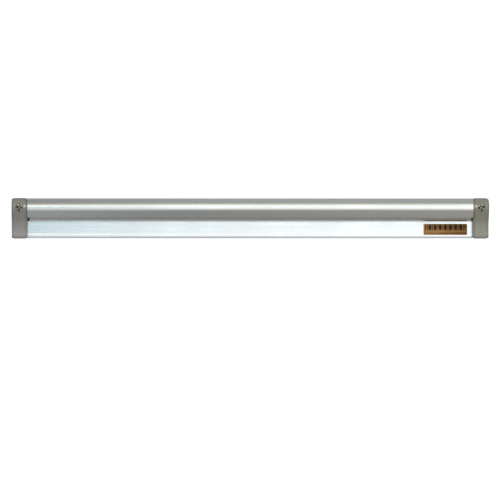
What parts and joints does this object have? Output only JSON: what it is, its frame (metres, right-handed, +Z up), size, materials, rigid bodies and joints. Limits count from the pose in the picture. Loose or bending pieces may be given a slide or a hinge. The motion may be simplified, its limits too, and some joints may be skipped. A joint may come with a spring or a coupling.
{
  "type": "order ticket rail",
  "caption": "Wall-mounted aluminium rail whose rolled hood holds loose glass marbles that grip paper slips pushed up from below, closed by two screwed end caps.",
  "frame": {"origin": "middle of the rail's back face, where it meets the wall", "axes": "+X along the rail, to the right seen from the front; +Y into the wall; +Z up"},
  "size_m": [0.6096, 0.0489, 0.052],
  "materials": {
    "satin_aluminium": "satin clear anodised, fine lines along the length",
    "cap_plastic": "warm grey moulded plastic, satin",
    "zinc_steel": "bright zinc plate",
    "label_foil": "bronze foil with plain bands",
    "marble_glass": "polished"
  },
  "bodies": {
    "rail": {"rail_extrusion": "satin_aluminium", "left_end_cap": "cap_plastic", "right_end_cap": "cap_plastic", "left_wall_screw": "zinc_steel", "right_wall_screw": "zinc_steel", "label": "label_foil"},
    "marble_01": {"marble_01": "marble_glass"},
    "marble_02": {"marble_02": "marble_glass"},
    "marble_03": {"marble_03": "marble_glass"},
    "marble_04": {"marble_04": "marble_glass"},
    "marble_05": {"marble_05": "marble_glass"},
    "marble_06": {"marble_06": "marble_glass"},
    "marble_07": {"marble_07": "marble_glass"},
    "marble_08": {"marble_08": "marble_glass"},
    "marble_09": {"marble_09": "marble_glass"},
    "marble_10": {"marble_10": "marble_glass"},
    "marble_11": {"marble_11": "marble_glass"},
    "marble_12": {"marble_12": "marble_glass"},
    "marble_13": {"marble_13": "marble_glass"},
    "marble_14": {"marble_14": "marble_glass"},
    "marble_15": {"marble_15": "marble_glass"},
    "marble_16": {"marble_16": "marble_glass"},
    "marble_17": {"marble_17": "marble_glass"},
    "marble_18": {"marble_18": "marble_glass"},
    "marble_19": {"marble_19": "marble_glass"},
    "marble_20": {"marble_20": "marble_glass"},
    "marble_21": {"marble_21": "marble_glass"},
    "marble_22": {"marble_22": "marble_glass"},
    "marble_23": {"marble_23": "marble_glass"},
    "marble_24": {"marble_24": "marble_glass"},
    "marble_25": {"marble_25": "marble_glass"},
    "marble_26": {"marble_26": "marble_glass"},
    "marble_27": {"marble_27": "marble_glass"},
    "marble_28": {"marble_28": "marble_glass"},
    "marble_29": {"marble_29": "marble_glass"},
    "marble_30": {"marble_30": "marble_glass"},
    "marble_31": {"marble_31": "marble_glass"},
    "marble_32": {"marble_32": "marble_glass"}
  },
  "joints": [
    {"name": "marble_01_lift", "type": "slide", "parent": "rail", "child": "marble_01", "axis": [0, -0.5299, 0.848], "range_m": [0, 0.0029]},
    {"name": "marble_02_lift", "type": "slide", "parent": "rail", "child": "marble_02", "axis": [0, -0.5299, 0.848], "range_m": [0, 0.0029]},
    {"name": "marble_03_lift", "type": "slide", "parent": "rail", "child": "marble_03", "axis": [0, -0.5299, 0.848], "range_m": [0, 0.0029]},
    {"name": "marble_04_lift", "type": "slide", "parent": "rail", "child": "marble_04", "axis": [0, -0.5299, 0.848], "range_m": [0, 0.0029]},
    {"name": "marble_05_lift", "type": "slide", "parent": "rail", "child": "marble_05", "axis": [0, -0.5299, 0.848], "range_m": [0, 0.0029]},
    {"name": "marble_06_lift", "type": "slide", "parent": "rail", "child": "marble_06", "axis": [0, -0.5299, 0.848], "range_m": [0, 0.0029]},
    {"name": "marble_07_lift", "type": "slide", "parent": "rail", "child": "marble_07", "axis": [0, -0.5299, 0.848], "range_m": [0, 0.0029]},
    {"name": "marble_08_lift", "type": "slide", "parent": "rail", "child": "marble_08", "axis": [0, -0.5299, 0.848], "range_m": [0, 0.0029]},
    {"name": "marble_09_lift", "type": "slide", "parent": "rail", "child": "marble_09", "axis": [0, -0.5299, 0.848], "range_m": [0, 0.0029]},
    {"name": "marble_10_lift", "type": "slide", "parent": "rail", "child": "marble_10", "axis": [0, -0.5299, 0.848], "range_m": [0, 0.0029]},
    {"name": "marble_11_lift", "type": "slide", "parent": "rail", "child": "marble_11", "axis": [0, -0.5299, 0.848], "range_m": [0, 0.0029]},
    {"name": "marble_12_lift", "type": "slide", "parent": "rail", "child": "marble_12", "axis": [0, -0.5299, 0.848], "range_m": [0, 0.0029]},
    {"name": "marble_13_lift", "type": "slide", "parent": "rail", "child": "marble_13", "axis": [0, -0.5299, 0.848], "range_m": [0, 0.0029]},
    {"name": "marble_14_lift", "type": "slide", "parent": "rail", "child": "marble_14", "axis": [0, -0.5299, 0.848], "range_m": [0, 0.0029]},
    {"name": "marble_15_lift", "type": "slide", "parent": "rail", "child": "marble_15", "axis": [0, -0.5299, 0.848], "range_m": [0, 0.0029]},
    {"name": "marble_16_lift", "type": "slide", "parent": "rail", "child": "marble_16", "axis": [0, -0.5299, 0.848], "range_m": [0, 0.0029]},
    {"name": "marble_17_lift", "type": "slide", "parent": "rail", "child": "marble_17", "axis": [0, -0.5299, 0.848], "range_m": [0, 0.0029]},
    {"name": "marble_18_lift", "type": "slide", "parent": "rail", "child": "marble_18", "axis": [0, -0.5299, 0.848], "range_m": [0, 0.0029]},
    {"name": "marble_19_lift", "type": "slide", "parent": "rail", "child": "marble_19", "axis": [0, -0.5299, 0.848], "range_m": [0, 0.0029]},
    {"name": "marble_20_lift", "type": "slide", "parent": "rail", "child": "marble_20", "axis": [0, -0.5299, 0.848], "range_m": [0, 0.0029]},
    {"name": "marble_21_lift", "type": "slide", "parent": "rail", "child": "marble_21", "axis": [0, -0.5299, 0.848], "range_m": [0, 0.0029]},
    {"name": "marble_22_lift", "type": "slide", "parent": "rail", "child": "marble_22", "axis": [0, -0.5299, 0.848], "range_m": [0, 0.0029]},
    {"name": "marble_23_lift", "type": "slide", "parent": "rail", "child": "marble_23", "axis": [0, -0.5299, 0.848], "range_m": [0, 0.0029]},
    {"name": "marble_24_lift", "type": "slide", "parent": "rail", "child": "marble_24", "axis": [0, -0.5299, 0.848], "range_m": [0, 0.0029]},
    {"name": "marble_25_lift", "type": "slide", "parent": "rail", "child": "marble_25", "axis": [0, -0.5299, 0.848], "range_m": [0, 0.0029]},
    {"name": "marble_26_lift", "type": "slide", "parent": "rail", "child": "marble_26", "axis": [0, -0.5299, 0.848], "range_m": [0, 0.0029]},
    {"name": "marble_27_lift", "type": "slide", "parent": "rail", "child": "marble_27", "axis": [0, -0.5299, 0.848], "range_m": [0, 0.0029]},
    {"name": "marble_28_lift", "type": "slide", "parent": "rail", "child": "marble_28", "axis": [0, -0.5299, 0.848], "range_m": [0, 0.0029]},
    {"name": "marble_29_lift", "type": "slide", "parent": "rail", "child": "marble_29", "axis": [0, -0.5299, 0.848], "range_m": [0, 0.0029]},
    {"name": "marble_30_lift", "type": "slide", "parent": "rail", "child": "marble_30", "axis": [0, -0.5299, 0.848], "range_m": [0, 0.0029]},
    {"name": "marble_31_lift", "type": "slide", "parent": "rail", "child": "marble_31", "axis": [0, -0.5299, 0.848], "range_m": [0, 0.0029]},
    {"name": "marble_32_lift", "type": "slide", "parent": "rail", "child": "marble_32", "axis": [0, -0.5299, 0.848], "range_m": [0, 0.0029]}
  ]
}
